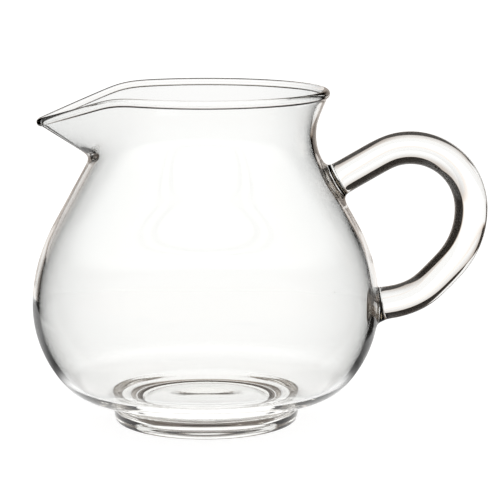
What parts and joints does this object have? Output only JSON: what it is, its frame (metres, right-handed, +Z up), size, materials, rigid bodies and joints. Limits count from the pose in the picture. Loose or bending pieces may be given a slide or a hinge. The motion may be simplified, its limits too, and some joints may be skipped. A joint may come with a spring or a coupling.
{
  "type": "tea fairness pitcher",
  "caption": "Clear blown glass tea sharing pitcher with a round belly, waisted neck, pulled pouring beak, foot ring and a solid rod handle.",
  "frame": {"origin": "centre of the foot ring's resting face, on the body's axis", "axes": "+Z up along the body's axis, +X towards the handle, -X towards the pouring beak"},
  "size_m": [0.1211, 0.0924, 0.0891],
  "materials": {
    "clear_glass": "clear, fire-polished"
  },
  "bodies": {
    "root": {"pitcher": "clear_glass"}
  },
  "joints": []
}
